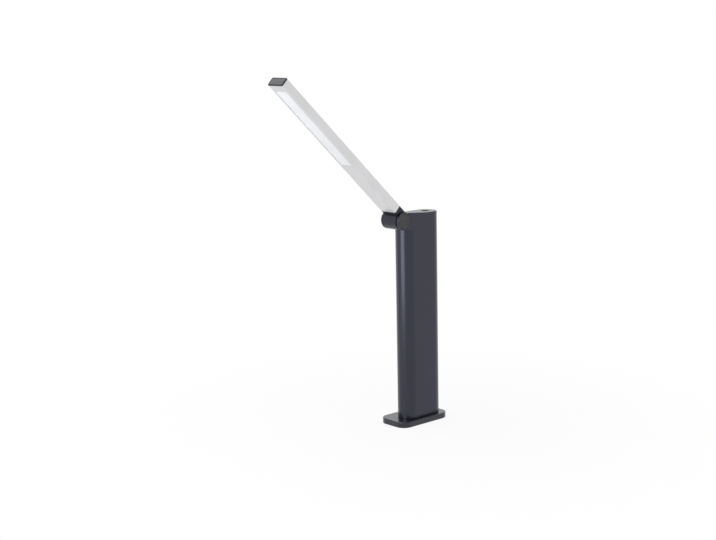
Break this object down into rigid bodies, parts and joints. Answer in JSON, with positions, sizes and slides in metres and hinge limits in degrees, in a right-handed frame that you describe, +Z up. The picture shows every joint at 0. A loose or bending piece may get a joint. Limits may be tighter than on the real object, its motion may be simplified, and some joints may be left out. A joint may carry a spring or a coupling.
{
  "type": "folding desk lamp",
  "caption": "Slim rechargeable desk lamp: a flat LED arm on a friction hinge folds down in front of a black stadium-shaped column on a small round-cornered base.",
  "frame": {"origin": "centre of the base plate's underside, on the desk", "axes": "+Z up; +X along the hinge axis, towards the side with the hinge ear; the arm reaches out over -Y, the lamp's front"},
  "size_m": [0.041, 0.225, 0.3962],
  "materials": {
    "base_paint": "semi-gloss black paint",
    "rubber": "matte rubber",
    "steel": "plain steel",
    "column_plastic": "satin black plastic",
    "gloss_black": "gloss black plastic",
    "inner_plastic": "moulded plastic",
    "board": "green circuit board",
    "cell_wrap": "shrink-wrapped cell",
    "milky_plastic": "milky translucent plastic",
    "lead_plastic": "insulated lead",
    "bronze": "bronze friction washer",
    "arm_plastic": "fine-textured black plastic",
    "aluminium": "silver anodised, satin",
    "strip_board": "white-faced aluminium-core board",
    "led_resin": "yellow resin",
    "white_plastic": "white reflective plastic"
  },
  "bodies": {
    "column": {"base_plate": "base_paint", "foot_pad": "rubber", "base_screws": "steel", "left_shell": "column_plastic", "right_shell": "column_plastic", "top_cover": "column_plastic", "button_boot": "rubber", "tact_switch": "inner_plastic", "control_board": "board", "board_screws": "steel", "chassis": "inner_plastic", "battery_cell": "cell_wrap", "battery_contacts": "steel", "charge_board": "board", "charging_socket": "steel", "charge_light": "milky_plastic", "battery_leads": "lead_plastic", "hinge_pin": "steel", "hinge_cover": "column_plastic", "hub_washer": "bronze", "feed_lead": "lead_plastic"},
    "arm": {"outer_washer": "bronze", "spring_washers": "steel", "hinge_nut": "steel", "hinge_barrel": "arm_plastic", "barrel_cap": "arm_plastic", "arm_root": "arm_plastic", "root_screws": "steel", "arm_profile": "aluminium", "led_strip": "strip_board", "leds": "led_resin", "reflector": "white_plastic", "diffuser": "milky_plastic", "end_cap": "arm_plastic", "arm_lead": "lead_plastic"},
    "button": {"button_cap": "gloss_black"}
  },
  "joints": [
    {"name": "arm_hinge", "type": "hinge", "parent": "column", "child": "arm", "pos_m": [0, -0.025, 0.23355], "axis": [1, 0, 0], "range_deg": [-46.5, 133.5]},
    {"name": "button_press", "type": "slide", "parent": "column", "child": "button", "axis": [0, 0, -1], "range_m": [0, 0.0006], "stiffness_N_per_m": 2500, "deforming": ["button_boot"]}
  ]
}
